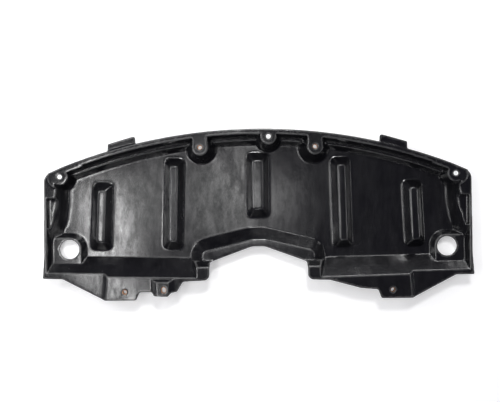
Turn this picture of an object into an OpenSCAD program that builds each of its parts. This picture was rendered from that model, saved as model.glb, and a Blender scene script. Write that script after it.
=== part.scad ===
// Engine splash shield: one sheet of black plastic, formed as a shallow tray
// with a curved front edge, five stiffening ribs, two access holes, an arched
// rear notch and flanges with bolt holes, five of them lined with metal sleeves.

/* [Overall] */
// Width across the rear corners
shield_w = 1006; // [976:1:1036]
// Depth from the front edge to the rear tabs
shield_d = 396; // [388:1:406]
// Thickness of the formed sheet
wall = 3; // [2.5:0.25:3.5]
// Radius of the curved front edge
front_r = 1255; // [1220:1:1300]

/* [Heights above the tray floor] */
// Height of the front flange
front_h = 44; // [42:0.5:47]
// Height of the ledge half way down the front wall
ledge_h = 18; // [12:0.5:24]
// Height of the side flanges and the outer rear panels
side_h = 38; // [35:0.5:41]
// Height of the rear panels that carry the bolt holes
tab_h = 45; // [43:0.5:48]
// Height of the raised tab with the slotted hole
slot_tab_h = 52; // [50:0.5:54]
// Height of the ridge that frames the rear notch
arch_h = 28; // [24:0.5:31]
// Height of the two pads round the access holes
pad_h = 17; // [13:0.5:20]
// Height of the stiffening ribs
rib_h = 20; // [15:0.5:24]
// Depth of the triangular shelves below the side flanges
shelf_drop = 9; // [6:0.5:12]
// Drop of the front tabs below the front flange
front_tab_drop = 2; // [1:0.25:3]

/* [Front tabs] */
// Distance from the middle to the inner side of a front tab
front_tab_x0 = 282; // [276:1:288]
// Distance from the middle to the outer side of a front tab
front_tab_x1 = 349; // [343:1:355]
// How far the front tabs stand out from the front edge
front_tab_out = 18; // [14:0.5:21]

/* [Front wall] */
// Width of the front flange, from its outer edge to the wall
flange_w = 11.5; // [10:0.5:13]
// Distance from the outer edge to the front of the ledge
ledge_front = 19.5; // [18:0.5:21]
// Width of the ledge
ledge_w = 5; // [3:0.5:6]
// Distance from the outer edge to the front of the floor
floor_front = 34; // [32:0.5:37]
// Distance from the widest edge to where the wall thickens near the corners
thick_in = 97; // [89:1:103]
// How far the flange reaches further in beyond that point
thick_w = 4; // [3:0.5:5]

/* [Side walls] */
// Width of the side flange at the rear
side_flange_w = 10; // [8:0.5:12]
// Horizontal run of the side wall beside the front corners
side_wall_run = 19; // [14:0.5:20]
// Horizontal run of the side wall where it widens
widen_wall_run = 31; // [27:0.5:32]
// Distance from the widest edge to the floor beside the front corners
side_foot_front = 53; // [48:1:54]
// Distance from the widest edge to the floor beside the pads
side_foot_rear = 22; // [20:1:24]
// Distance from the widest edge to the floor, level with the wide end of the shelves
widen_run = 62; // [57:0.5:63]
// Sideways run of the widening wall for each unit along the side
widen_slope = 0.31; // [0.26:0.01:0.36]
// Half length of the easy bend where the side wall starts to widen
side_bend = 20; // [10:1:24]
// Length of the triangular shelf along the side
shelf_len = 66; // [60:1:70]
// Distance of the shelf's wide end behind the corner bolt hole
shelf_back = 53; // [50:1:56]
// Horizontal run of the small walls at the shelf's end and outer side
shelf_end_run = 4; // [3:0.25:5]

/* [Rear wall and notch] */
// Distance from the rear edge of the tabs to the rear edge of the floor
rear_foot = 100; // [97:0.5:102]
// Horizontal run of the rear wall for each unit of its height
rear_slope = 0.95; // [0.85:0.01:1]
// Rearward drift of the rear wall for each unit towards the middle
rear_slant = 0.022; // [0:0.002:0.04]
// Distance from the rear edge of the tabs to the top of the notch
notch_depth = 121.5; // [118:0.5:125]
// Width of the notch between the two raised ends
notch_w = 229; // [222:1:238]
// Distance that the notch's slanting edges fall from its top to its ends
notch_fall = 36; // [32:1:39]
// Half width of the notch's level top
notch_top = 15; // [10:1:20]
// Width of the ridge's flange above the top of the notch
arch_flange_w = 16; // [14:0.5:19]
// Horizontal run of the ridge's wall
arch_run = 28; // [26:0.5:30]
// Fall of the ridge towards its ends, for each unit of its length
ridge_slant = 0.235; // [0.2:0.005:0.27]
// Width of the ridge's flange beside the ends of the notch
ridge_end_w = 17; // [14:0.5:20]
// Width of the raised ends beside the notch
raised_end_w = 30; // [27:0.5:34]
// Distance from the rear edge of the tabs to the front of the raised ends
raised_end_len = 89.5; // [86:0.5:92]
// Horizontal run of the raised ends' inner walls
raised_end_run = 16; // [13:0.5:18]

/* [Rear panels] */
// Distance from the middle to the sloping fold between the rear panels
fold_x = 347; // [342:1:352]
// Width of that fold
fold_w = 9; // [7:0.5:11]
// Turn of that fold, in degrees
fold_turn = 5; // [3:0.5:7]
// Distance of the slotted tab to the left of the middle
slot_tab_x = 222.5; // [220:0.5:225]
// Width of the slotted tab's flat top
slot_tab_top = 28; // [26:0.5:30]
// Horizontal run of the slotted tab's sloping sides
slot_tab_run = 12.5; // [10:0.5:14]
// Distance from the rear edge to the front of the slotted tab
slot_tab_len = 48.5; // [46:0.5:51]

/* [Ribs] */
// Distance of the two inner ribs from the middle
rib_x_inner = 199.5; // [195:0.5:205]
// Distance of the two outer ribs from the middle
rib_x_outer = 370; // [366:0.5:375]
// Width of a rib at the floor
rib_w = 47; // [44:1:50]
// Width of the middle rib at the floor
middle_rib_w = 53; // [48:1:56]
// Width of a rib's flat top
rib_top_w = 17; // [14:1:22]
// Width of the middle rib's flat top
middle_rib_top_w = 24; // [20:1:27]
// Horizontal run of a rib's two end walls
rib_end_run = 20; // [16:1:23]
// Radius of a rib's corners at the floor
rib_corner_r = 11; // [9:0.5:13]
// Lean of the two inner ribs, in degrees
inner_rib_lean = 1.5; // [0.5:0.25:2.5]
// Lean of the two outer ribs, in degrees
outer_rib_lean = 2.5; // [1.5:0.25:3.5]
// Gap between the inner ribs and the front edge of the shield
inner_rib_front = 48.5; // [46:0.5:51]
// Gap between the outer ribs and the front edge of the shield
outer_rib_front = 64.5; // [61:0.5:68]
// Gap between the middle rib and the front edge of the shield
middle_rib_front = 52.5; // [50:0.5:57]
// Gap between the side ribs and the rear edge of the floor
rib_rear = 15; // [12:1:18]
// Gap between the middle rib and the foot of the ridge
middle_rib_rear = 24; // [20:1:28]

/* [Access holes] */
// Diameter of an access hole
access_d = 45; // [42:1:48]
// Distance of the access holes from the widest edge
access_in = 57.5; // [55:0.5:60]
// Distance of the access holes in front of the rear edge of the floor
access_y = 18; // [15:1:21]
// Width of the pad from the hole's centre to its inner and front edges
pad_reach = 27; // [25.5:0.5:30]
// Horizontal run of the pad's sloping wall
pad_run = 9.5; // [8:0.5:12]

/* [Bolt holes] */
// Outer diameter of a round metal sleeve
sleeve_d = 11; // [9:0.5:12]
// Thickness of the sleeves' metal
sleeve_t = 1; // [0.75:0.25:1.5]
// Length of a sleeve
sleeve_len = 12; // [8:0.5:15]
// Length of the slotted sleeve, across the slot's long way
slot_len = 15; // [13.5:0.5:17]
// Diameter of the plain holes at the corners and the middle
plain_hole_d = 10.5; // [9:0.5:12]
// Distance of the front boss holes from the middle
boss_x = 133.5; // [130:0.5:137]
// Distance of the front boss holes behind the front edge
boss_back = 35.5; // [34:0.5:37.5]
// Radius of the bosses' tops
boss_top_r = 18; // [16:0.5:19]
// Radius of the bosses' feet
boss_foot_r = 36; // [34:0.5:38]
// Width of the necks that join the bosses to the front flange
neck_w = 34; // [32:0.5:35]
// Horizontal run of the necks' steep sides
neck_run = 5; // [4:0.5:7]
// Distance of the middle hole to the right of the middle
middle_hole_x = 25.5; // [22:0.5:29]
// Distance of the middle hole behind the front edge
middle_hole_back = 18; // [17:0.5:19.5]
// Radius of the middle boss's foot
middle_foot_r = 33; // [31:0.5:35]
// Distance of the corner holes from the widest edge
corner_in = 43.5; // [41:0.5:46]
// Distance of the corner holes behind the front edge
corner_back = 20.5; // [19:0.5:22]
// Radius of the corner tongues' tops
corner_top_r = 19; // [17:0.5:20]
// Radius of the corner tongues' feet
corner_foot_r = 27; // [25:0.5:30]
// Radius of the raised pads round the corner holes
corner_pad_r = 29; // [27:0.5:31]
// Distance of the rear tab holes from the middle
tab_hole_x = 310.5; // [306:0.5:314]
// Distance of the rear tab holes in front of the rear edge
tab_hole_y = 20; // [17.5:0.5:22.5]
// Distance of the slotted hole to the left of the middle
slot_x = 219.5; // [218:0.5:222]
// Distance of the slotted hole in front of the rear edge
slot_y = 24.5; // [22.5:0.5:26.5]

/* [Hidden] */
sheet_black = [0.04, 0.04, 0.045];
sleeve_brown = [0.72, 0.5, 0.32];
corner_steps = 6;
skirt = 4;
clear_up = 30;
ridge_corner_r = 14;
ridge_crown_r = 30;
half_w = shield_w / 2;
front_y = shield_d / 2;
rear_y = -shield_d / 2;
floor_z = wall;
front_z = floor_z + front_h;
side_z = floor_z + side_h;
tab_z = floor_z + tab_h;
top_z = floor_z + slot_tab_h + clear_up;
arc_y = front_y - front_r;
floor_rear_y = rear_y + rear_foot;
notch_y = rear_y + notch_depth;
arch_foot_y = notch_y + arch_flange_w + arch_run;
corner_x = half_w - corner_in;
corner_y = edge_y(corner_x) - corner_back;
access_x = half_w - access_in;
thick_x = half_w - thick_in;
shelf_y = corner_y - shelf_back;
side_walls = [side_wall_run, widen_wall_run, side_foot_rear - side_flange_w];

// Height of the front arc, along y, at distance x from the middle
function edge_y(x) = arc_y + sqrt(front_r * front_r - x * x);

// Sideways shift of a sloping wall's underside, for a wall rising h over run
function lean_in(drop, h, run) = drop * tan(atan2(h, run) / 2);

function flat(p) = [p[0], p[1]];
function unit(v) = v / norm(v);
function cross_z(a, b) = a[0] * b[1] - a[1] * b[0];
function edge_in(path, i) = unit(flat(path[i]) - flat(path[(i + len(path) - 1) % len(path)]));
function edge_out(path, i) = unit(flat(path[(i + 1) % len(path)]) - flat(path[i]));

// An anticlockwise path of [x, y, radius] corners moved out by e all round
function grown(path, e) = [for (i = [0:len(path) - 1])
    let (a = edge_in(path, i), b = edge_out(path, i), q = path[i],
         na = [a[1], -a[0]], nb = [b[1], -b[0]],
         m = (na + nb) / (1 + na * nb), r = q[2] + e * sign(cross_z(a, b)))
    [q[0] + e * m[0], q[1] + e * m[1], q[2] == 0 ? 0 : max(0.5, r)]];

// The points of one corner: an arc of its radius, or the corner itself
function corner_arc(a, b, q) = q[2] == 0 ? [flat(q)] :
    let (turn = atan2(cross_z(a, b), a * b), start = flat(q) - a * q[2] * tan(abs(turn) / 2),
         side = sign(turn) * q[2] * [-a[1], a[0]], c = start + side)
    [for (k = [0:corner_steps]) let (t = turn * k / corner_steps)
        c - [side[0] * cos(t) - side[1] * sin(t), side[0] * sin(t) + side[1] * cos(t)]];

// A path of [x, y, radius] corners with its corners rounded
function rounded(path) = [for (i = [0:len(path) - 1])
    each corner_arc(edge_in(path, i), edge_out(path, i), path[i])];

function mirrored(path) = [for (i = [len(path) - 1:-1:0]) [-path[i][0], path[i][1], path[i][2]]];
function at_z(points, z) = [for (p = points) [p[0], p[1], z]];
function between(a, b, t) = [for (i = [0:len(a) - 1]) a[i] + (b[i] - a[i]) * t];

// Solid between two rings of points, one above the other
module loft(low, high) {
    n = len(low);
    polyhedron(points = concat(low, high), faces = concat(
        [[for (i = [0:n - 1]) i]], [[for (i = [n - 1:-1:0]) n + i]],
        [for (i = [0:n - 1]) [i, n + i, n + (i + 1) % n]],
        [for (i = [0:n - 1]) [i, n + (i + 1) % n, (i + 1) % n]]));
}

// Raised form with sloping walls: foot and top are its outlines at the floor and at height h
module bump(foot, top, h, drop, inset) {
    low = at_z(rounded(grown(foot, -inset)), floor_z - drop);
    high = at_z(rounded(grown(top, -inset)), floor_z + h - drop);
    loft(between(low, high, -skirt / h), high);
}

// Corners of a rectangle, with one radius
function box_path(x0, y0, x1, y1, r) = [[x0, y0, r], [x1, y0, r], [x1, y1, r], [x0, y1, r]];

module both_sides() {
    children();
    mirror([1, 0, 0]) children();
}

module bar(x0, x1, y0, y1, z) {
    translate([x0, y0, -clear_up]) cube([x1 - x0, y1 - y0, z + clear_up]);
}

// The shield's flanges as one block, before the tray is sunk into it
module rim_block(drop) {
    reach = half_w + clear_up;
    bar(-reach, reach, rear_y - clear_up, edge_y(corner_x), side_z - drop);
    front_flange(drop);
    front_tab_block(drop);
    rear_panels(drop);
}

module front_flange(drop) {
    intersection() {
        bar(-corner_x, corner_x, corner_y, front_y + clear_up, front_z - drop);
        translate([0, arc_y, -clear_up]) cylinder(r = front_r - drop, h = top_z, $fn = 720);
    }
    both_sides() translate([corner_x, corner_y, -clear_up])
        cylinder(r = corner_pad_r - drop, h = front_z - drop + clear_up, $fn = 96);
}

module front_tab_block(drop) {
    bar(-corner_x, corner_x, corner_y, front_y + clear_up, front_z - front_tab_drop - drop);
}

// Rear panels that carry the holes, raised above the outer ones by a sloping fold
module rear_panels(drop) {
    s = lean_in(drop, tab_h - side_h, fold_w);
    rise = tab_z - side_z;
    both_sides() translate([fold_x, floor_rear_y, 0]) rotate([0, 0, fold_turn])
        rotate([90, 0, 0]) linear_extrude(rear_foot + clear_up)
            polygon([[-fold_x - fold_w, -clear_up], [fold_w - s, -clear_up], [fold_w - s, side_z - drop],
                     [-s, side_z + rise - drop], [-fold_x - fold_w, side_z + rise - drop]]);
    slot_tab(drop);
}

// Raised tab with the slotted hole, between two crossed profiles
module slot_tab(drop) {
    h = slot_tab_h - tab_h;
    s = lean_in(drop, h, slot_tab_run);
    half = slot_tab_top / 2 - s;
    low = tab_z - drop;
    back = slot_tab_len + clear_up;
    across = [[-half - slot_tab_run, low], [half + slot_tab_run, low], [half, low + h], [-half, low + h]];
    along = [[0, low], [-slot_tab_run / 2, low + h], [-back, low + h], [-back, low]];
    intersection() {
        translate([-slot_tab_x, rear_y + slot_tab_len, 0]) rotate([90, 0, 0])
            linear_extrude(back) polygon(across);
        translate([-slot_tab_x - slot_tab_top * 2, rear_y + slot_tab_len - s, 0]) rotate([90, 0, 90])
            linear_extrude(slot_tab_top * 4) polygon(along);
    }
}

// The hollow of the tray: the curved front wall is turned, the other walls are lofted
module tray(drop) {
    intersection() {
        front_hollow(drop);
        side_hollow(drop);
    }
    both_sides() shelf_hollow(drop);
}

module front_hollow(drop) {
    e = lean_in(drop, front_h, flange_w);
    translate([0, arc_y, -drop]) rotate_extrude($fn = 720) polygon([
        [0, floor_z], [front_r - floor_front + e, floor_z],
        [front_r - ledge_front - ledge_w + e, floor_z + ledge_h],
        [front_r - ledge_front + e, floor_z + ledge_h],
        [front_r - flange_w + e, front_z],
        [front_r - flange_w + e, top_z], [0, top_z]]);
}

// Distance from the middle to a side wall with its foot at foot_in from the widest edge, at height h
function wall_x(foot_in, run, h, drop) = half_w - foot_in + lean_in(drop, side_h, run) + run * h / side_h;

// Place along y of the rear wall at height h, and at distance x from the middle
function rear_wall_y(x, h, drop) = floor_rear_y - lean_in(drop, 1, rear_slope) - rear_slope * h
    - rear_slant * (access_x - x);

// Hollow between the sloping side walls, which widens behind the shelves
module side_hollow(drop) {
    levels = [0, top_z - floor_z];
    rings = [for (h = levels) let (x = wall_x(side_foot_front, side_walls[0], h, drop),
                                   y = rear_wall_y(x, h, drop), middle = rear_wall_y(0, h, drop))
        at_z([[-x, y], [0, middle], [x, y], [x, front_y], [-x, front_y]], floor_z - drop + h)];
    loft(rings[0], rings[1]);
    both_sides() {
        bend_hollow(drop, levels);
        rear_corner_hollow(drop, levels);
    }
}

// Wedge that eases the bend between the straight and the widening side wall
module bend_hollow(drop, levels) {
    rings = [for (h = levels) let (a = wall_x(side_foot_front, side_walls[0], h, drop),
                                   b = wall_x(widen_run, side_walls[1], h, drop),
                                   y = shelf_y - (a - b) / widen_slope,
                                   long = 1.5 * side_bend, middle = a + side_bend * widen_slope / 2,
                                   out = long * widen_slope / 2)
        at_z([[0, y - long], [middle + out, y - long], [middle - out, y + long], [0, y + long]],
            floor_z - drop + h)];
    loft(rings[0], rings[1]);
}

// Wider part of the hollow beside and behind the pads
module rear_corner_hollow(drop, levels) {
    reach = widen_run;
    rings = [for (h = levels) let (b = wall_x(widen_run, side_walls[1], h, drop),
                                   c = wall_x(side_foot_rear, side_walls[2], h, drop),
                                   y = shelf_y + reach / widen_slope, middle = rear_wall_y(0, h, drop))
        at_z([[0, middle], [c, rear_wall_y(c, h, drop)], [c, shelf_y - (c - b) / widen_slope],
              [b - reach, y], [0, y]], floor_z - drop + h)];
    loft(rings[0], rings[1]);
}

// Triangular shelf between the side flange and the side wall
module shelf_hollow(drop) {
    e = lean_in(drop, shelf_drop, shelf_end_run);
    x1 = half_w - side_flange_w;
    x0 = half_w - side_foot_front;
    y0 = shelf_y - shelf_len;
    base = box_path(x0, y0, x1 - shelf_end_run, shelf_y, 0);
    top = box_path(x0, y0, x1, shelf_y + shelf_end_run, 0);
    low = at_z(rounded(grown(base, e)), side_z - shelf_drop - drop);
    high = at_z(rounded(grown(top, e)), side_z - drop);
    loft(low, between(low, high, 2));
}

// Ridge with a sloping wall that frames the notch
module ridge(drop) {
    edge = notch_y + arch_flange_w;
    end_x = notch_w / 2 + ridge_end_w;
    down = (end_x - notch_top) * ridge_slant;
    half = [[end_x, rear_y, 0], [end_x, edge - down, ridge_corner_r], [notch_top, edge, ridge_crown_r]];
    top = concat(half, mirrored(half));
    bump(grown(top, arch_run), top, arch_h, drop, lean_in(drop, arch_h, arch_run));
}

// Raised ends of the ridge, level with the rear panels
module ridge_end(drop) {
    e = lean_in(drop, tab_h, raised_end_run);
    x0 = notch_w / 2 - clear_up;
    x1 = notch_w / 2 + raised_end_w - e;
    y1 = rear_y + raised_end_len - e;
    low = floor_z - drop - skirt;
    high = tab_z - drop;
    across = [[x0, low], [x1 + raised_end_run, low], [x1, high], [x0, high]];
    along = [[raised_end_run, low], [raised_end_run, low + skirt], [0, floor_z + arch_h - drop],
             [-ridge_corner_r, high], [-raised_end_len - clear_up, high], [-raised_end_len - clear_up, low]];
    intersection() {
        translate([0, y1, 0]) rotate([90, 0, 0]) linear_extrude(raised_end_len) polygon(across);
        translate([x0, y1, 0]) rotate([90, 0, 90]) linear_extrude(clear_up * 4) polygon(along);
    }
}

module rib(width, top_w, length, drop) {
    side_run = (width - top_w) / 2;
    inset = lean_in(drop, rib_h, side_run);
    half_l = length / 2;
    foot = box_path(-width / 2, -half_l, width / 2, half_l, rib_corner_r);
    top = box_path(-top_w / 2, -half_l + rib_end_run, top_w / 2, half_l - rib_end_run, rib_corner_r / 2);
    bump(foot, top, rib_h, drop, inset);
}

module ribs(drop) {
    side_rear = floor_rear_y + rib_rear;
    for (s = [[rib_x_inner, inner_rib_front, inner_rib_lean],
              [rib_x_outer, outer_rib_front, outer_rib_lean]]) {
        front = edge_y(s[0]) - s[1];
        both_sides() translate([s[0], (front + side_rear) / 2, 0]) rotate([0, 0, s[2]])
            rib(rib_w, rib_top_w, front - side_rear, drop);
    }
    middle_rear = arch_foot_y + middle_rib_rear;
    middle_front = front_y - middle_rib_front;
    translate([0, (middle_front + middle_rear) / 2, 0])
        rib(middle_rib_w, middle_rib_top_w, middle_front - middle_rear, drop);
}

module access_pad(drop) {
    e = lean_in(drop, pad_h, pad_run);
    x0 = access_x - pad_reach;
    y1 = floor_rear_y + access_y + pad_reach;
    far = half_w + clear_up;
    top = [[x0, rear_y, 0], [far, rear_y, 0], [far, y1, 0], [x0, y1, pad_reach - 2]];
    bump(grown(top, pad_run), top, pad_h, drop, e);
}

// Conical boss under a bolt hole, from the floor up to the flange
module boss(x, back, top_r, foot_r, drop) {
    e = lean_in(drop, front_h, foot_r - top_r);
    grow = (foot_r - top_r) * skirt / front_h;
    translate([x, edge_y(x) - back, floor_z - drop - skirt])
        cylinder(r1 = foot_r + grow - e, r2 = top_r - e, h = front_h + skirt, $fn = 96);
}

// Steep neck between a boss and the front flange
module neck(drop) {
    y = edge_y(boss_x) - boss_back;
    top = box_path(boss_x - neck_w / 2, y, boss_x + neck_w / 2, edge_y(boss_x) - flange_w / 2, 0);
    bump(grown(top, neck_run), top, front_h, drop, lean_in(drop, front_h, neck_run));
}

module bosses(drop) {
    both_sides() {
        neck(drop);
        boss(boss_x, boss_back, boss_top_r, boss_foot_r, drop);
        boss(corner_x, corner_back, corner_top_r, corner_foot_r, drop);
    }
    boss(middle_hole_x, middle_hole_back, boss_top_r, middle_foot_r, drop);
}

// Wider flange and upright upper wall beside the front corners
module front_thickening(drop) {
    both_sides() intersection() {
        bar(thick_x + drop, corner_x, corner_y, front_y, front_z - drop);
        translate([0, arc_y, floor_z]) difference() {
            cylinder(r = front_r - drop, h = front_z, $fn = 720);
            translate([0, 0, -1])
                cylinder(r = front_r - flange_w - thick_w + drop, h = front_z + 2, $fn = 720);
        }
    }
}

// Everything below the sheet's upper face, or with drop set below its lower face
module form(drop) {
    bar(-half_w - clear_up, half_w + clear_up, rear_y - clear_up, front_y + clear_up, floor_z - drop);
    difference() {
        rim_block(drop);
        tray(drop);
    }
    front_thickening(drop);
    ridge(drop);
    both_sides() {
        ridge_end(drop);
        access_pad(drop);
    }
    ribs(drop);
    bosses(drop);
}

// Rear outline from the notch to the rear corner, as distance from the middle,
// distance in front of the rear edge, and corner radius
right_outline = [[notch_w / 2, 45, 14], [165, 43.5, 0], [237, 24, 30], [277, 20.5, 6], [284, 0, 6],
                 [360, 0, 14], [half_w - 43, 52.5, 12], [half_w, 52.5, 3]];
// The left side goes round the slotted tab as well
left_outline = [[notch_w / 2, 45, 14], [176, 42.5, 8], [190, 19, 4], [203, 17, 3], [210, 9, 4], [243, 9.5, 4],
                [248, 19, 3], [276, 19, 6], [285, 0, 5], [360, 0, 8], [half_w - 46, 50, 12],
                [half_w, 51, 3]];
// Side outline from the rear corner to the front corner, as distance from the widest edge,
// distance in front of the rear edge, and corner radius
side_outline = [[4, 108, 0], [4, 153, 0]];
corner_edge_in = 5;
corner_edge_r = 22;
notch_end_in = 1;
notch_r = 30;

function behind(path) = [for (q = path) [q[0], rear_y + q[1], q[2]]];
right_rear = behind(right_outline);
left_rear = behind(left_outline);
corner_edge_x = half_w - corner_edge_in;
side_edge = concat([for (q = side_outline) [half_w - q[0], rear_y + q[1], q[2]]],
    [[corner_edge_x, edge_y(corner_edge_x) - 1, corner_edge_r]]);
notch = [[notch_top, notch_y, notch_r], [notch_w / 2 - notch_end_in, notch_y - notch_fall, 5]];
front_point = edge_y(corner_edge_x) - 1 + corner_edge_x * corner_edge_x / (edge_y(corner_edge_x) - arc_y);
sheet_path = concat(mirrored(left_rear), mirrored(notch), notch, right_rear, side_edge,
    [[0, front_point, 0]], mirrored(side_edge));

module front_tab() {
    a = edge_y(front_tab_x0);
    b = edge_y(front_tab_x1);
    linear_extrude(top_z) polygon(rounded([[front_tab_x0, a - flange_w, 0], [front_tab_x1, b - flange_w, 0],
        [front_tab_x1 - 1, b + front_tab_out - 1, 4], [front_tab_x0 + 2, a + front_tab_out, 5]]));
}

module trim() {
    translate([0, 0, -1]) {
        intersection() {
            translate([0, arc_y, 0]) cylinder(r = front_r, h = top_z, $fn = 720);
            linear_extrude(top_z) polygon(rounded(sheet_path));
        }
        both_sides() front_tab();
    }
}

// Places of the round holes: x, y and the level of the flange that each goes through
sleeved = [[-boss_x, edge_y(boss_x) - boss_back, front_z], [boss_x, edge_y(boss_x) - boss_back, front_z],
           [-tab_hole_x, rear_y + tab_hole_y, tab_z], [tab_hole_x, rear_y + tab_hole_y, tab_z]];
plain = [[-corner_x, corner_y, front_z], [corner_x, corner_y, front_z],
         [middle_hole_x, edge_y(middle_hole_x) - middle_hole_back, front_z]];

module stadium(d, length) {
    r = d / 2;
    for (s = [-1, 1]) translate([0, s * (length - d) / 2]) circle(r, $fn = 48);
    square([d, length - d], center = true);
}

module holes() {
    for (p = sleeved) translate([p[0], p[1], 0]) cylinder(d = sleeve_d, h = top_z, $fn = 64);
    for (p = plain) translate([p[0], p[1], 0]) cylinder(d = plain_hole_d, h = top_z, $fn = 64);
    both_sides() translate([access_x, floor_rear_y + access_y, -1])
        cylinder(d = access_d, h = top_z, $fn = 96);
    translate([-slot_x, rear_y + slot_y, 0]) linear_extrude(top_z) stadium(sleeve_d, slot_len);
}

module shield() {
    color(sheet_black) difference() {
        intersection() {
            form(0);
            trim();
        }
        form(wall);
        holes();
    }
}

module sleeves() {
    color(sleeve_brown) for (p = sleeved) translate([p[0], p[1], p[2] - sleeve_len]) difference() {
        cylinder(d = sleeve_d, h = sleeve_len, $fn = 64);
        translate([0, 0, -1]) cylinder(d = sleeve_d - 2 * sleeve_t, h = sleeve_len + 2, $fn = 64);
    }
}

module slot_sleeve() {
    color(sleeve_brown) translate([-slot_x, rear_y + slot_y, floor_z + slot_tab_h - sleeve_len])
        difference() {
            linear_extrude(sleeve_len) stadium(sleeve_d, slot_len);
            translate([0, 0, -1]) linear_extrude(sleeve_len + 2)
                stadium(sleeve_d - 2 * sleeve_t, slot_len - 2 * sleeve_t);
        }
}

shield();
sleeves();
slot_sleeve();
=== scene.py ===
"""Looks of the engine splash shield: a glossy black formed tray with metal sleeves, on the CAD frame."""

import logging
import math
from dataclasses import dataclass, field
from enum import Enum
from typing import Any

import bmesh
import bpy
import numpy as np
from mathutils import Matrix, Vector


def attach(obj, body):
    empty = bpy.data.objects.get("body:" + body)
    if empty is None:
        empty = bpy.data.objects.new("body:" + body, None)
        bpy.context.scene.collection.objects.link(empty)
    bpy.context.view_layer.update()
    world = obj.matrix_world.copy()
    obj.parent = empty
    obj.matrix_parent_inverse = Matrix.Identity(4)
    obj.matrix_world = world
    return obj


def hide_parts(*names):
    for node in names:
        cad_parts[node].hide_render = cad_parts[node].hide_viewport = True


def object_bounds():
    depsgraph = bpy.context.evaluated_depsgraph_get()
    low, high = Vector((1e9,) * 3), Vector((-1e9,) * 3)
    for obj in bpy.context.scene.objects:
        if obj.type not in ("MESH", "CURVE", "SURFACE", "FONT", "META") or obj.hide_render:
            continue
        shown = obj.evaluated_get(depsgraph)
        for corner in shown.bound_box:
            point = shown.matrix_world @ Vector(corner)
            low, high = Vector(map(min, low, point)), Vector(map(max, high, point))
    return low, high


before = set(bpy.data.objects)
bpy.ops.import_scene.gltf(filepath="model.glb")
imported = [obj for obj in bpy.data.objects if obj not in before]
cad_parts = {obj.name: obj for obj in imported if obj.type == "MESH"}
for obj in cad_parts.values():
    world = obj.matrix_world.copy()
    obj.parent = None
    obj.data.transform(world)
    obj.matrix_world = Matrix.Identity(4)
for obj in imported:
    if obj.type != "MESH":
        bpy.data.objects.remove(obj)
CAD_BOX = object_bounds()
MM = 0.001
IMAGE_WIDTH = 500
FOLDS = "folds"
WHITE = (1.0, 1.0, 1.0, 1.0)
MIDDLE = (0.0, 0.0, 0.0)
Colour = tuple[float, float, float, float]
Place = tuple[float, float, float]
Span = tuple[float, float]
log = logging.getLogger("splash_shield")


@dataclass(frozen=True)
class Mottle:
    """An uneven pattern in a finish.

    Attributes:
        scale: its features for each metre.
        detail: its finer octaves.
        roughness: how strong the finer octaves are.
        span: the levels between which a patch of it fades in.
    """

    scale: float
    detail: float = 2.0
    roughness: float = 0.5
    span: Span = (0.0, 1.0)


class Signal:
    """One shader socket, with arithmetic that adds Math nodes."""

    def __init__(self, graph: "Graph", socket: bpy.types.NodeSocket) -> None:
        """Wraps a socket.

        Args:
            graph: the node graph that it belongs to.
            socket: the output socket.
        """
        self.graph = graph
        self.socket = socket

    def _math(self, operation: str, first: Any, second: Any) -> "Signal":
        """Adds one Math node.

        Args:
            operation: the Math node's operation.
            first: its first value or signal.
            second: its second value or signal.

        Returns:
            The node's output.
        """
        return self.graph.node("ShaderNodeMath", {"operation": operation}, {0: first, 1: second})

    def __add__(self, other: Any) -> "Signal":
        """Sum with a value or signal."""
        return self._math("ADD", self, other)

    __radd__ = __add__

    def __sub__(self, other: Any) -> "Signal":
        """Difference with a value or signal."""
        return self._math("SUBTRACT", self, other)

    def __rsub__(self, other: Any) -> "Signal":
        """A value or signal less this one."""
        return self._math("SUBTRACT", other, self)

    def __mul__(self, other: Any) -> "Signal":
        """Product with a value or signal."""
        return self._math("MULTIPLY", self, other)

    __rmul__ = __mul__


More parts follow.
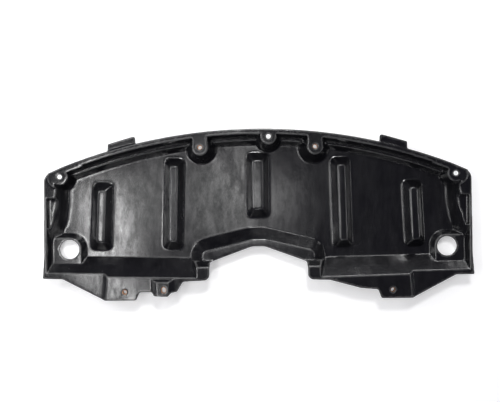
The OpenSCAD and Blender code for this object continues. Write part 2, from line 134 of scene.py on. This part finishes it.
class Graph:
    """The node graph of one material or world."""

    def __init__(self, tree: bpy.types.NodeTree) -> None:
        """Takes over a node tree.

        Args:
            tree: the node tree, which is emptied.
        """
        self.tree = tree
        tree.nodes.clear()

    def node(self, kind: str, settings: dict[str, Any] | None = None, inputs: dict[Any, Any] | None = None,
             output: Any = 0) -> Signal:
        """Adds any node.

        Args:
            kind: the node's type name.
            settings: its properties, set first. A ramp's two (place, grey level) pairs are given as "stops".
            inputs: values or signals for its sockets, by name or index.
            output: the name or index of the output wanted.

        Returns:
            That output as a signal.
        """
        made = self.tree.nodes.new(kind)
        for name, value in (settings or {}).items():
            if name == "stops":
                self._set_stops(made.color_ramp, value)
            else:
                setattr(made, name, value)
        for key, value in (inputs or {}).items():
            if isinstance(value, Signal):
                self.tree.links.new(value.socket, made.inputs[key])
            else:
                made.inputs[key].default_value = value
        return Signal(self, made.outputs[output] if made.outputs else None)

    @staticmethod
    def _set_stops(ramp: bpy.types.ColorRamp, stops: tuple[Span, Span]) -> None:
        """Sets a new ramp's two stops.

        Args:
            ramp: the colour ramp.
            stops: the (place, grey level) pair of each.
        """
        for element, (place, grey) in zip(ramp.elements, stops):
            element.position = place
            element.color = (grey, grey, grey, 1.0)

    def object_point(self, scale: Place = (1.0, 1.0, 1.0)) -> Signal:
        """Object coordinates, stretched.

        Args:
            scale: the stretch along each axis.

        Returns:
            The mapped point.
        """
        point = self.node("ShaderNodeTexCoord", output="Object")
        return self.node("ShaderNodeMapping", {}, {"Vector": point, "Scale": scale})

    def noise(self, point: Signal, mottle: Mottle) -> Signal:
        """A noise value from 0 to 1.

        Args:
            point: where it is read.
            mottle: the pattern.

        Returns:
            The noise factor.
        """
        return self.node("ShaderNodeTexNoise", {}, {
            "Vector": point, "Scale": mottle.scale, "Detail": mottle.detail, "Roughness": mottle.roughness})

    def rise(self, value: Signal, span: Span) -> Signal:
        """A grey level that rises from 0 to 1.

        Args:
            value: the value that is looked up.
            span: the values where the rise starts and ends.

        Returns:
            The grey level.
        """
        stops = ((span[0], 0.0), (span[1], 1.0))
        return self.node("ShaderNodeValToRGB", {"stops": stops}, {"Fac": value}, "Color")

    def patches(self, point: Signal, mottle: Mottle) -> Signal:
        """A noise that is cut to soft patches.

        Args:
            point: where it is read.
            mottle: the pattern, with the span over which a patch fades in.

        Returns:
            A grey level, 1 inside the patches.
        """
        return self.rise(self.noise(point, mottle), mottle.span)

    def blend(self, factor: Any, first: Any, second: Any) -> Signal:
        """A colour between two colours.

        Args:
            factor: 0 for the first, 1 for the second.
            first: a colour or signal.
            second: a colour or signal.

        Returns:
            The mixed colour.
        """
        return self.node("ShaderNodeMix", {"data_type": "RGBA"}, {0: factor, 6: first, 7: second}, 2)

    def bump(self, height: Signal, strength: float, distance: float, under: Signal | None = None) -> Signal:
        """A normal pushed about by a height.

        Args:
            height: the height signal.
            strength: how much of it counts, 0 to 1.
            distance: the height's size in metres.
            under: the bumped normal that it lies on, where there is one.

        Returns:
            The bumped normal.
        """
        inputs = {"Strength": strength, "Distance": distance, "Height": height}
        if under is not None:
            inputs["Normal"] = under
        return self.node("ShaderNodeBump", {}, inputs)

    def end(self, kind: str, shader: Signal) -> None:
        """Shows a shader through an output node of the given kind."""
        self.node(kind, {}, {"Surface": shader})


def blank_finish(name: str) -> tuple[bpy.types.Material, Graph]:
    """Starts a finish.

    Args:
        name: the material's name.

    Returns:
        The material and its empty graph.
    """
    made = bpy.data.materials.new(name)
    made.use_nodes = True
    return made, Graph(made.node_tree)


@dataclass(frozen=True)
class BlackPlastic:
    """Glossy black formed plastic, slightly uneven, with handling haze, fine scuffs and a painted highlight
    on its convex folds.

    Attributes:
        base: the plastic's own colour.
        haze: the colour of smears and dust.
        fold_highlight: the light grey painted on the convex folds as a highlight.
        drawn: the stretch of the patterns that follow the sheet's forming.
        scuffed: the stretch of the scuffs.
        cloud: broad smears.
        streak: narrow smears.
        dust: specks of dust.
        scuff: short scuffs in the gloss.
        fine: fine unevenness.
        grain: the finest unevenness.
        waves: slow waves in the flats.
        dents: shallow dents.
        cloud_share: the broad smears' share of all the smears.
        smear_share: the smears' share of the haze, beside the dust.
        fold_highlight_span: the fold marks between which the painted fold highlight fades in.
        unsmeared_fold_highlight: the share of the painted fold highlight where there is no smear.
        even_dust: the dust where there is no smear.
        cloud_wear: the broad smears' part in the wear of the gloss.
        scuff_wear: the scuffs' part in it.
        fine_wear: the fine unevenness's part in it.
        wear_span: the wear between which the gloss goes.
        gloss_roughness: the roughness of clean plastic.
        haze_roughness: the roughness that smears add.
        grain_roughness: the roughness that the grain adds.
        wave_height: the height of the waves, in metres.
        dent_share: the height of the dents, as a share of that.
        fine_share: the height of the fine unevenness, as a share of that.
        grain_height: the height of the grain, in metres.
        grain_strength: how much of the grain counts, 0 to 1.
        specular: how strongly the plastic under the gloss mirrors.
        coat: how strong the gloss is, 0 to 1.
        coat_roughness: the roughness of the gloss.
    """

    base: Colour = (0.0028, 0.0028, 0.0038, 1.0)
    haze: Colour = (0.022, 0.022, 0.024, 1.0)
    fold_highlight: Colour = (0.085, 0.085, 0.085, 1.0)
    drawn: Place = (1.0, 0.38, 1.0)
    scuffed: Place = (1.0, 0.40, 1.0)
    cloud: Mottle = Mottle(13.0, 4.0, 0.62, (0.36, 0.68))
    streak: Mottle = Mottle(52.0, 3.0, 0.6, (0.40, 0.75))
    dust: Mottle = Mottle(210.0, 3.0, 0.7, (0.60, 0.74))
    scuff: Mottle = Mottle(70.0, 5.0, 0.75, (0.40, 0.62))
    fine: Mottle = Mottle(130.0, 4.0, 0.7)
    grain: Mottle = Mottle(900.0)
    waves: Mottle = Mottle(9.0, 2.0, 0.4)
    dents: Mottle = Mottle(30.0)
    cloud_share: float = 0.7
    smear_share: float = 0.4
    fold_highlight_span: Span = (0.12, 0.34)
    unsmeared_fold_highlight: float = 0.3
    even_dust: float = 0.2
    cloud_wear: float = 0.45
    scuff_wear: float = 0.35
    fine_wear: float = 0.4
    wear_span: Span = (0.20, 0.80)
    gloss_roughness: float = 0.12
    haze_roughness: float = 0.15
    grain_roughness: float = 0.05
    wave_height: float = 1.7 * MM
    dent_share: float = 0.20
    fine_share: float = 0.05
    grain_height: float = 0.06 * MM
    grain_strength: float = 0.35
    specular: float = 0.36
    coat: float = 1.0
    coat_roughness: float = 0.16

    def material(self) -> bpy.types.Material:
        """Makes the finish.

        Returns:
            The finish as a material.
        """
        made, graph = blank_finish("black_plastic")
        point = graph.object_point()
        drawn = graph.object_point(self.drawn)
        cloud = graph.patches(drawn, self.cloud)
        smear = cloud * self.cloud_share + graph.patches(drawn, self.streak) * (1 - self.cloud_share)
        grain = graph.noise(point, self.grain)
        fine = graph.noise(point, self.fine)
        shader = graph.node("ShaderNodeBsdfPrincipled", {}, {
            "Base Color": self._colour(graph, point, cloud, smear),
            "Roughness": smear * self.haze_roughness + grain * self.grain_roughness + self.gloss_roughness,
            "Normal": self._relief(graph, point, drawn, fine, grain),
            "Specular IOR Level": self.specular,
            "Coat Weight": self._gloss(graph, cloud, fine) * self.coat,
            "Coat Roughness": self.coat_roughness})
        graph.end("ShaderNodeOutputMaterial", shader)
        return made

    def _colour(self, graph: Graph, point: Signal, cloud: Signal, smear: Signal) -> Signal:
        """The colour, greyer where the sheet is smeared or dusty, with a painted highlight on its convex
        folds.

        Args:
            graph: the material's graph.
            point: where the patterns are read.
            cloud: the broad smears.
            smear: all the smears.

        Returns:
            The colour.
        """
        # Painted highlight: a light grey is painted on the convex folds, where the rounded edges would catch
        # the lamps; it is stronger under the smears.
        fold = graph.node("ShaderNodeAttribute", {"attribute_name": FOLDS}, output="Fac")
        fold_highlight_mask = graph.rise(fold, self.fold_highlight_span) * (smear * (1 - self.unsmeared_fold_highlight) + self.unsmeared_fold_highlight)
        dust = graph.patches(point, self.dust) * (cloud * (1 - self.even_dust) + self.even_dust)
        hazy = smear * self.smear_share + dust * (1 - self.smear_share)
        return graph.blend(fold_highlight_mask, graph.blend(hazy, self.base, self.haze), self.fold_highlight)

    def _gloss(self, graph: Graph, cloud: Signal, fine: Signal) -> Signal:
        """The gloss that wear has left.

        Args:
            graph: the material's graph.
            cloud: the broad smears.
            fine: the fine unevenness.

        Returns:
            1 where the gloss is whole, 0 where it is gone.
        """
        scuff = graph.patches(graph.object_point(self.scuffed), self.scuff)
        wear = cloud * self.cloud_wear + scuff * self.scuff_wear + fine * self.fine_wear
        return 1 - graph.rise(wear, self.wear_span)

    def _relief(self, graph: Graph, point: Signal, drawn: Signal, fine: Signal, grain: Signal) -> Signal:
        """The normal, pushed about by waves, dents and grain.

        Args:
            graph: the material's graph.
            point: where the waves are read.
            drawn: where the dents are read.
            fine: the fine unevenness.
            grain: the finest unevenness.

        Returns:
            The bumped normal.
        """
        dents = graph.noise(drawn, self.dents)
        height = graph.noise(point, self.waves) + dents * self.dent_share + fine * self.fine_share
        rolling = graph.bump(height, 1.0, self.wave_height)
        return graph.bump(grain, self.grain_strength, self.grain_height, rolling)


@dataclass(frozen=True)
class PassivatedMetal:
    """Yellow-brown passivated metal of the pressed-in sleeves.

    Attributes:
        bright: the colour of the clean metal.
        dull: the colour of its dull patches.
        patches: the pattern of those patches.
        lines: the turning lines in the bore.
        squeeze: how the lines are squeezed along each axis.
        line_height: the height of the lines, in metres.
        line_strength: how much of it counts, 0 to 1.
        metallic: how metallic it is, 0 to 1.
        roughness: its least roughness.
        line_roughness: the roughness that the lines add.
    """

    bright: Colour = (0.46, 0.25, 0.14, 1.0)
    dull: Colour = (0.22, 0.10, 0.055, 1.0)
    patches: Mottle = Mottle(320.0, 3.0, 0.5, (0.35, 0.65))
    lines: Mottle = Mottle(500.0)
    squeeze: Place = (1.0, 1.0, 12.0)
    line_height: float = 0.05 * MM
    line_strength: float = 0.4
    metallic: float = 0.85
    roughness: float = 0.32
    line_roughness: float = 0.2

    def material(self) -> bpy.types.Material:
        """Makes the finish.

        Returns:
            The finish as a material.
        """
        made, graph = blank_finish("sleeve_metal")
        patches = graph.patches(graph.object_point(), self.patches)
        lines = graph.noise(graph.object_point(self.squeeze), self.lines)
        shader = graph.node("ShaderNodeBsdfPrincipled", {}, {
            "Base Color": graph.blend(patches, self.bright, self.dull),
            "Metallic": self.metallic,
            "Roughness": lines * self.line_roughness + self.roughness,
            "Normal": graph.bump(lines, self.line_strength, self.line_height)})
        graph.end("ShaderNodeOutputMaterial", shader)
        return made


@dataclass(frozen=True)
class WhiteFloor:
    """White studio floor that stays white to the camera and keeps the object's shadow.

    Attributes:
        colour: its white.
        shade: the slightly darker white of its patches.
        patches: the pattern of the patches.
        patch_share: how much the patches show, 0 to 1.
        glow: the light that it adds for the camera alone.
    """

    colour: Colour = (0.82, 0.82, 0.82, 1.0)
    shade: Colour = (0.78, 0.78, 0.78, 1.0)
    patches: Mottle = Mottle(2.0)
    patch_share: float = 0.15
    glow: float = 0.34

    def material(self) -> bpy.types.Material:
        """Makes the finish.

        Returns:
            The finish as a material.
        """
        made, graph = blank_finish("studio_floor")
        seen = graph.node("ShaderNodeLightPath", output="Is Camera Ray")
        patches = graph.noise(graph.object_point(), self.patches) * self.patch_share
        tone = graph.blend(patches, self.colour, self.shade)
        matte = graph.node("ShaderNodeBsdfDiffuse", {}, {"Color": tone})
        light = graph.node("ShaderNodeEmission", {}, {"Color": WHITE, "Strength": seen * self.glow})
        graph.end("ShaderNodeOutputMaterial", graph.node("ShaderNodeAddShader", {}, {0: matte, 1: light}))
        return made


class Softness(Enum):
    """How many smoothing passes a form takes: each kind of form has its own roundness."""

    RIM = 7
    RIB = 30
    WALL = 90


@dataclass(frozen=True)
class Zone:
    """A box, in metres, on both sides of the middle line, whose forms have one roundness.

    Attributes:
        x: its distance from the middle line, halfway along it.
        y: its rear and front ends.
        half_width: half its width.
        lean: how far it leans towards the middle line for each metre forward.
        softness: the roundness of its forms.
        top: its top.
    """

    x: float
    y: Span
    half_width: float
    lean: float = 0.0
    softness: Softness = Softness.RIB
    top: float = 0.026

    def holds(self, point: Vector) -> bool:
        """Tells whether a point lies in the zone.

        Args:
            point: the point.

        Returns:
            True inside the zone and below its top.
        """
        rear, front = self.y
        x = abs(point.x) - self.x + self.lean * (point.y - (rear + front) / 2)
        return rear < point.y < front and abs(x) < self.half_width and point.z < self.top


ZONES = (
    Zone(x=0.0, y=(-0.014, 0.150), half_width=0.032),
    Zone(x=0.1995, y=(-0.088, 0.139), half_width=0.029, lean=0.026),
    Zone(x=0.370, y=(-0.088, 0.083), half_width=0.029, lean=0.044),
    Zone(x=0.459, y=(-0.030, 0.072), half_width=0.020, softness=Softness.WALL, top=0.040),
)


@dataclass
class ShieldSheet:
    """The formed sheet, with every fold and rim rounded as forming and trimming leave them.

    Attributes:
        node: the CAD node whose place it takes.
        merge_gap: the gap within which the node's loose points are joined.
        grid: the spacing of the even grid.
        strength: how far a smoothing pass moves a point, 0 to 1.
        shortest: the least square of an edge's length, which keeps a bend finite.
        evening: the passes that even out the fold marks.
        full_bend: the bend for each metre that is marked as a full fold.
        tight: the share of it from which the log counts a fold as tight.
        triangles: the triangles that thinning leaves.
        hair: the size of the shifts before thinning.
        seed: the seed of the shifts.
        finish: the sheet's finish.
    """

    node: str = "shield"
    merge_gap: float = 0.02 * MM
    grid: float = 1.25 * MM
    strength: float = 0.5
    shortest: float = 1e-9
    evening: int = 4
    full_bend: float = 600.0
    tight: float = 0.4
    triangles: int = 194000
    hair: float = 0.008 * MM
    seed: int = 7
    finish: BlackPlastic = field(default_factory=BlackPlastic)

    def build(self) -> None:
        """Puts the dressed sheet in place of the CAD node."""
        piece = bpy.data.objects.new("formed_sheet", self._joined_copy())
        bpy.context.scene.collection.objects.link(piece)
        self._soften(piece)
        self._mark_folds(piece.data)
        self._thin(piece)
        self._keep_inside(piece.data)
        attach(piece, "root")
        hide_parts(self.node)

    def _joined_copy(self) -> bpy.types.Mesh:
        """Copies the CAD node's mesh and joins its loose triangles.

        Returns:
            The copy, in the sheet's finish.
        """
        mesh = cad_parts[self.node].data.copy()
        mesh.name = "formed_sheet"
        form = bmesh.new()
        form.from_mesh(mesh)
        bmesh.ops.remove_doubles(form, verts=form.verts, dist=self.merge_gap)
        form.to_mesh(mesh)
        form.free()
        mesh.materials.clear()
        mesh.materials.append(self.finish.material())
        return mesh

    def _soften(self, piece: bpy.types.Object) -> None:
        """Rounds the edges by an even grid and a few smoothing passes.

        Args:
            piece: the sheet.
        """
        remesh = piece.modifiers.new("even_grid", "REMESH")
        remesh.mode = "VOXEL"
        remesh.voxel_size = self.grid
        self._apply(piece)
        for softness in Softness:
            smooth = piece.modifiers.new(softness.name, "SMOOTH")
            smooth.factor = self.strength
            smooth.iterations = softness.value
            if softness is not Softness.RIM:
                smooth.vertex_group = self._zone_group(piece, softness)
        self._apply(piece)
        piece.data.shade_smooth()

    @staticmethod
    def _zone_group(piece: bpy.types.Object, softness: Softness) -> str:
        """Groups the points that lie in the zones of one roundness.

        Args:
            piece: the sheet.
            softness: the roundness.

        Returns:
            The group's name.
        """
        zones = [zone for zone in ZONES if zone.softness is softness]
        held = [point.index for point in piece.data.vertices if any(zone.holds(point.co) for zone in zones)]
        group = piece.vertex_groups.new(name=softness.name)
        group.add(held, 1.0, "ADD")
        return group.name

    def _mark_folds(self, mesh: bpy.types.Mesh) -> None:
        """Stores how tightly the sheet bends at each point, convex folds above zero and concave ones below.

        Args:
            mesh: the sheet's mesh.
        """
        places, count = self._places(mesh), len(mesh.vertices)
        facing = np.empty(count * 3, np.float32)
        ends = np.empty(len(mesh.edges) * 2, np.int32)
        mesh.vertex_normals.foreach_get("vector", facing)
        mesh.edges.foreach_get("vertices", ends)
        facing = facing.reshape(-1, 3)
        first, second = ends.reshape(-1, 2).T
        along = places[second] - places[first]
        turn = ((facing[second] - facing[first]) * along).sum(1)
        bend = turn / np.maximum((along ** 2).sum(1), self.shortest)
        high, low = np.zeros(count), np.zeros(count)
        for end in (first, second):
            np.maximum.at(high, end, bend)
            np.minimum.at(low, end, bend)
        bends = np.where(high > -low, high, low)
        near = 1.0 + np.bincount(first, minlength=count) + np.bincount(second, minlength=count)
        for _ in range(self.evening):
            ahead = np.bincount(first, bends[second], count)
            behind = np.bincount(second, bends[first], count)
            bends = (bends + ahead + behind) / near
        marks = mesh.attributes.new(FOLDS, "FLOAT", "POINT")
        marks.data.foreach_set("value", np.clip(bends / self.full_bend, -1.0, 1.0).astype(np.float32))
        log.info("folds from %.2f to %.2f, tight at %d points", bends.min(), bends.max(),
                 int((bends > self.tight * self.full_bend).sum()))

    def _thin(self, piece: bpy.types.Object) -> None:
        """Thins the faces and keeps the shading of the dense sheet.

        Args:
            piece: the sheet.
        """
        dense = bpy.data.objects.new("dense_sheet", piece.data.copy())
        bpy.context.scene.collection.objects.link(dense)
        full = self._count(piece.data)
        self._unsettle(piece.data)
        thin = piece.modifiers.new("fewer_faces", "DECIMATE")
        thin.ratio = min(1.0, self.triangles / full)
        self._apply(piece)
        share = piece.modifiers.new("dense_normals", "DATA_TRANSFER")
        share.object = dense
        share.use_loop_data = True
        share.data_types_loops = {"CUSTOM_NORMAL"}
        share.loop_mapping = "POLYINTERP_NEAREST"
        self._apply(piece)
        bpy.data.objects.remove(dense)
        log.info("sheet of %d triangles, thinned to %d", full, self._count(piece.data))

    def _unsettle(self, mesh: bpy.types.Mesh) -> None:
        """Shifts every point by a hair, so that thinning leaves small faces on the flats too.

        Args:
            mesh: the dense sheet's mesh.
        """
        places = self._places(mesh)
        places += np.random.default_rng(self.seed).normal(0.0, self.hair, places.shape)
        mesh.vertices.foreach_set("co", places.ravel())

    def _keep_inside(self, mesh: bpy.types.Mesh) -> None:
        """Holds the points inside the CAD model's box.

        Args:
            mesh: the sheet's mesh.
        """
        low, high = (np.array(corner, np.float32) for corner in CAD_BOX)
        mesh.vertices.foreach_set("co", np.clip(self._places(mesh), low, high).ravel())
        mesh.update()

    @staticmethod
    def _places(mesh: bpy.types.Mesh) -> np.ndarray:
        """Reads a mesh's points.

        Args:
            mesh: the mesh.

        Returns:
            One row of three coordinates for each point.
        """
        places = np.empty(len(mesh.vertices) * 3, np.float32)
        mesh.vertices.foreach_get("co", places)
        return places.reshape(-1, 3)

    @staticmethod
    def _count(mesh: bpy.types.Mesh) -> int:
        """How many triangles a mesh's faces make."""
        return sum(len(face.vertices) - 2 for face in mesh.polygons)

    @staticmethod
    def _apply(piece: bpy.types.Object) -> None:
        """Makes an object's modifiers part of its mesh.

        Args:
            piece: the object.
        """
        seen = piece.evaluated_get(bpy.context.evaluated_depsgraph_get())
        mesh = bpy.data.meshes.new_from_object(seen)
        piece.modifiers.clear()
        piece.data = mesh


@dataclass
class Sleeves:
    """The metal sleeves in the bolt holes.

    Attributes:
        nodes: their CAD nodes.
        finish: their finish.
    """

    nodes: tuple[str, ...] = ("sleeves", "slot_sleeve")
    finish: PassivatedMetal = field(default_factory=PassivatedMetal)

    def dress(self) -> None:
        """Gives each sleeve its finish."""
        metal = self.finish.material()
        for name in self.nodes:
            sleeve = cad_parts[name]
            sleeve.data.materials.clear()
            sleeve.data.materials.append(metal)
            log.info("dressed %s", name)


@dataclass(frozen=True)
class SoftLamp:
    """One rectangular lamp.

    Attributes:
        name: its name.
        place: its middle, in metres.
        aim: the point that it faces.
        size: its width and height, in metres.
        watts: its power.
    """

    name: str
    place: Place
    aim: Place
    size: Span
    watts: float

    def hang(self) -> None:
        """Adds the lamp to the scene, facing the point that it aims at."""
        light = bpy.data.lights.new(self.name, "AREA")
        light.shape = "RECTANGLE"
        light.size, light.size_y = self.size
        light.energy = self.watts
        lamp = bpy.data.objects.new(self.name, light)
        lamp.location = self.place
        lamp.rotation_euler = (Vector(self.aim) - Vector(self.place)).to_track_quat("-Z", "Y").to_euler()
        bpy.context.scene.collection.objects.link(lamp)


LAMPS = (
    SoftLamp("left_softbox", (-0.66, -0.045, 1.30), (-0.34, 0.0, 0.0), (0.32, 0.17), 2.5),
    SoftLamp("rear_softbox", (-0.60, -0.36, 1.30), (-0.30, -0.17, 0.0), (0.40, 0.10), 2.5),
    SoftLamp("overhead_glow", (-0.19, 0.02, 1.40), (-0.10, 0.0, 0.0), (0.31, 0.75), 1.5),
    SoftLamp("overhead_fill", (0.06, 0.02, 1.40), (0.03, 0.0, 0.0), (0.22, 0.75), 0.15),
    SoftLamp("middle_glow", (-0.10, 0.20, 1.75), (-0.05, 0.1, 0.0), (0.16, 0.34), 0.9),
    SoftLamp("left_key", (-1.24, 0.51, 1.05), MIDDLE, (0.50, 0.14), 6.5),
    SoftLamp("front_left", (-0.71, 0.71, 1.61), MIDDLE, (0.5, 0.4), 2.9),
    SoftLamp("front_top", (0.0, 1.01, 1.61), MIDDLE, (0.5, 0.4), 1.6),
    SoftLamp("left_strip", (-1.62, 0.0, 0.53), MIDDLE, (0.7, 0.08), 2.2),
    SoftLamp("right_strip", (1.50, 0.1, 0.75), (0.3, 0.0, 0.0), (0.7, 0.08), 2.5),
    SoftLamp("front_strip", (0.0, 1.62, 0.53), MIDDLE, (0.7, 0.08), 2.0),
    SoftLamp("front_right", (0.55, 1.25, 0.45), (0.30, 0.0, 0.0), (0.7, 0.16), 5.5),
    SoftLamp("rear_strip", (-0.2, -1.55, 0.70), MIDDLE, (0.9, 0.08), 2.5),
    SoftLamp("top_key", (0.1, 2.6, 3.6), MIDDLE, (0.7, 0.7), 80.0),
)


@dataclass
class Studio:
    """Floor, lamps, world and camera.

    Attributes:
        height: the camera's height, in metres.
        view_centre: the place that it looks down on.
        roll: its turn about its own axis.
        focal_px: its focal length, in the picture's pixels.
        sensor: its sensor's width, in millimetres.
        floor_half: half the floor's width, in metres.
        floor_gap: how far the floor lies below the shield.
        dim_colour: the tint of the surroundings that the shield mirrors.
        dim: their strength.
        finish: the floor's finish.
    """

    height: float = 1.503
    view_centre: tuple[float, float] = (-0.0185, 0.0302)
    roll: float = math.radians(-0.56)
    focal_px: float = 628.5
    sensor: float = 36.0
    floor_half: float = 4.0
    floor_gap: float = 0.2 * MM
    dim_colour: Colour = (1.0, 0.97, 1.22, 1.0)
    dim: float = 0.085
    finish: WhiteFloor = field(default_factory=WhiteFloor)

    def build(self) -> None:
        """Makes everything that isn't part of the object."""
        self._camera()
        self._floor()
        self._world()
        for lamp in LAMPS:
            lamp.hang()
        log.info("studio with %d lamps", len(LAMPS))

    def _camera(self) -> None:
        """Puts the camera above the tray, looking straight down."""
        camera = bpy.data.cameras.new("camera")
        camera.sensor_width = self.sensor
        camera.lens = self.focal_px * self.sensor / IMAGE_WIDTH
        camera.dof.use_dof = False
        eye = bpy.data.objects.new("camera", camera)
        eye.location = (*self.view_centre, self.height)
        eye.rotation_euler = (0.0, 0.0, self.roll)
        bpy.context.scene.collection.objects.link(eye)
        bpy.context.scene.camera = eye

    def _floor(self) -> None:
        """Lays the white floor under the shield."""
        sheet = bmesh.new()
        bmesh.ops.create_grid(sheet, x_segments=2, y_segments=2, size=self.floor_half)
        bmesh.ops.translate(sheet, verts=sheet.verts, vec=(0.0, 0.0, -self.floor_gap))
        mesh = bpy.data.meshes.new("studio_floor")
        sheet.to_mesh(mesh)
        sheet.free()
        mesh.materials.append(self.finish.material())
        floor = bpy.data.objects.new("studio_floor", mesh)
        bpy.context.scene.collection.objects.link(floor)

    def _world(self) -> None:
        """Surrounds the shield with a dim tint that shows white to the camera."""
        world = bpy.data.worlds.new("studio")
        bpy.context.scene.world = world
        world.use_nodes = True
        graph = Graph(world.node_tree)
        seen = graph.node("ShaderNodeLightPath", output="Is Camera Ray")
        dim = graph.node("ShaderNodeBackground", {}, {"Color": self.dim_colour, "Strength": self.dim})
        white = graph.node("ShaderNodeBackground", {}, {"Color": WHITE, "Strength": 1.0})
        graph.end("ShaderNodeOutputWorld", graph.node("ShaderNodeMixShader", {}, {0: seen, 1: dim, 2: white}))


def main() -> None:
    """Builds the shield's looks and the studio."""
    logging.basicConfig(level=logging.INFO)
    bpy.context.scene.view_settings.view_transform = "Standard"
    ShieldSheet().build()
    Sleeves().dress()
    Studio().build()


if __name__ == "__main__":
    main()
